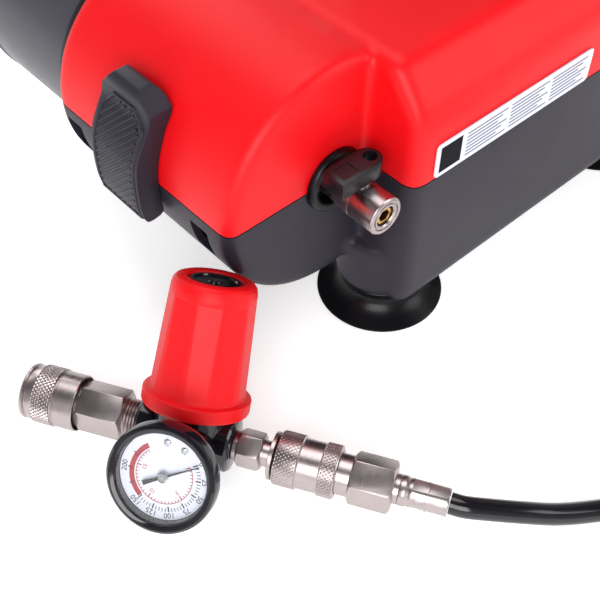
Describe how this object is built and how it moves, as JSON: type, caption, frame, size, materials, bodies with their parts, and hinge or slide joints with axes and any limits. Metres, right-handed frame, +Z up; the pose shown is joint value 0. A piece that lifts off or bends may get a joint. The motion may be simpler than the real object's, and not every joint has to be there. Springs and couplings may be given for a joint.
{
  "type": "portable air compressor",
  "caption": "Portable air compressor with tube tanks held in a red and black clamshell, suction-cup feet, a carrying handle, a ball valve and a hose that ends in a pressure regulator.",
  "frame": {"origin": "on the floor, under the middle of the compressor's box without its hose", "axes": "+X to the right of the machine seen from its front, across the two tanks; -Y the front, where the valve and label are; +Z up"},
  "size_m": [0.4415, 0.4545, 0.1865],
  "materials": {
    "red_abs": "satin moulded",
    "charcoal_abs": "satin moulded",
    "black_gloss_plastic": "polished",
    "black_rubber": "smooth",
    "black_pvc_hose": "glossy",
    "grey_tank_paint": "semi-gloss",
    "nickel_plated_brass": "bright plated",
    "brass": "machined",
    "bright_steel": "machined",
    "cast_aluminium": "as cast",
    "copper_pipe": "drawn tube",
    "white_vinyl": "printed film",
    "clear_lens": "clear"
  },
  "bodies": {
    "housing": {"ball_valve_body": "nickel_plated_brass", "base_shell": "charcoal_abs", "carry_handle": "bright_steel", "cord_gland": "black_rubber", "cover_shell": "red_abs", "crankcase": "cast_aluminium", "cross_pipe": "copper_pipe", "cylinder": "cast_aluminium", "cylinder_head": "cast_aluminium", "discharge_pipe": "copper_pipe", "drain_valve_body": "brass", "front_label": "white_vinyl", "gauge_case": "black_gloss_plastic", "gauge_dial": "white_vinyl", "gauge_lens": "clear_lens", "handle_grip": "black_rubber", "hose_coil": "black_pvc_hose", "hose_coupler_body": "nickel_plated_brass", "hose_ferrule_port": "nickel_plated_brass", "hose_ferrule_tool": "nickel_plated_brass", "hose_tube_port": "black_pvc_hose", "hose_tube_tool": "black_pvc_hose", "inlet_plug": "nickel_plated_brass", "latch_pin_left": "bright_steel", "latch_pin_right": "bright_steel", "motor_bracket": "cast_aluminium", "motor_stator": "bright_steel", "outlet_coupler_body": "nickel_plated_brass", "outlet_grommet": "black_rubber", "outlet_port": "nickel_plated_brass", "pressure_switch": "charcoal_abs", "regulator_body": "black_gloss_plastic", "safety_valve_body": "brass", "shaft_bearing": "bright_steel", "suction_foot_front_left": "black_rubber", "suction_foot_front_right": "black_rubber", "suction_foot_rear_left": "black_rubber", "suction_foot_rear_right": "black_rubber", "switch_frame": "charcoal_abs", "tank_left": "grey_tank_paint", "tank_right": "grey_tank_paint", "tank_sleeve_left": "black_rubber", "tank_sleeve_right": "black_rubber", "valve_grommet": "black_rubber"},
    "rotor": {"motor_rotor": "bright_steel", "cooling_fan": "charcoal_abs", "crank_disc": "bright_steel"},
    "piston": {"piston_and_rod": "cast_aluminium"},
    "outlet_lever": {"valve_lever": "charcoal_abs", "valve_ball": "brass"},
    "left_latch": {"latch_left": "charcoal_abs"},
    "right_latch": {"latch_right": "charcoal_abs"},
    "power_rocker": {"rocker_switch": "red_abs"},
    "relief_ring": {"safety_valve_ring": "bright_steel"},
    "drain_handwheel": {"drain_knob": "charcoal_abs"},
    "pressure_knob": {"regulator_knob": "red_abs", "knob_cap": "black_gloss_plastic"},
    "needle": {"gauge_needle": "charcoal_abs"},
    "outlet_sleeve": {"outlet_coupler_sleeve": "nickel_plated_brass"},
    "hose_sleeve": {"hose_coupler_sleeve": "nickel_plated_brass"}
  },
  "joints": [
    {"name": "motor_spin", "type": "hinge", "parent": "housing", "child": "rotor", "pos_m": [0, -0.0663, 0.062], "axis": [0, 1, 0], "continuous": true},
    {"name": "piston_stroke", "type": "slide", "parent": "housing", "child": "piston", "axis": [0, 0, 1], "range_m": [-0.005, 0.005]},
    {"name": "outlet_valve_turn", "type": "hinge", "parent": "housing", "child": "outlet_lever", "pos_m": [-0.117, -0.103, 0.088], "axis": [0, 0, 1], "range_deg": [0, 90]},
    {"name": "left_latch_swing", "type": "hinge", "parent": "housing", "child": "left_latch", "pos_m": [-0.1675, -0.0303, 0.1235], "axis": [0, 1, 0], "range_deg": [0, 100]},
    {"name": "right_latch_swing", "type": "hinge", "parent": "housing", "child": "right_latch", "pos_m": [0.1675, -0.0303, 0.1235], "axis": [0, -1, 0], "range_deg": [0, 100]},
    {"name": "power_rocker_tilt", "type": "hinge", "parent": "housing", "child": "power_rocker", "pos_m": [0.024, 0.0562, 0.106], "axis": [1, 0, 0], "range_deg": [-12, 0]},
    {"name": "relief_ring_pull", "type": "slide", "parent": "housing", "child": "relief_ring", "axis": [0, 0, 1], "range_m": [0, 0.003], "stiffness_N_per_m": 300},
    {"name": "drain_knob_turn", "type": "hinge", "parent": "housing", "child": "drain_handwheel", "pos_m": [-0.117, 0.0682, 0.0272], "axis": [0, 0, -1], "range_deg": [0, 270]},
    {"name": "pressure_knob_turn", "type": "hinge", "parent": "housing", "child": "pressure_knob", "pos_m": [-0.2113, -0.1071, 0.017], "axis": [0.4937, 0.2919, 0.8192], "range_deg": [0, 540]},
    {"name": "gauge_needle_swing", "type": "hinge", "parent": "housing", "child": "needle", "pos_m": [-0.20865, -0.11158, 0.017], "axis": [-0.7051, -0.4169, 0.5736], "range_deg": [-270, 0]},
    {"name": "outlet_sleeve_draw", "type": "slide", "parent": "housing", "child": "outlet_sleeve", "axis": [0.5089, -0.8608, 0], "range_m": [0, 0.0035], "stiffness_N_per_m": 400},
    {"name": "hose_sleeve_draw", "type": "slide", "parent": "housing", "child": "hose_sleeve", "axis": [0.5089, -0.8608, 0], "range_m": [0, 0.0035], "stiffness_N_per_m": 400}
  ]
}
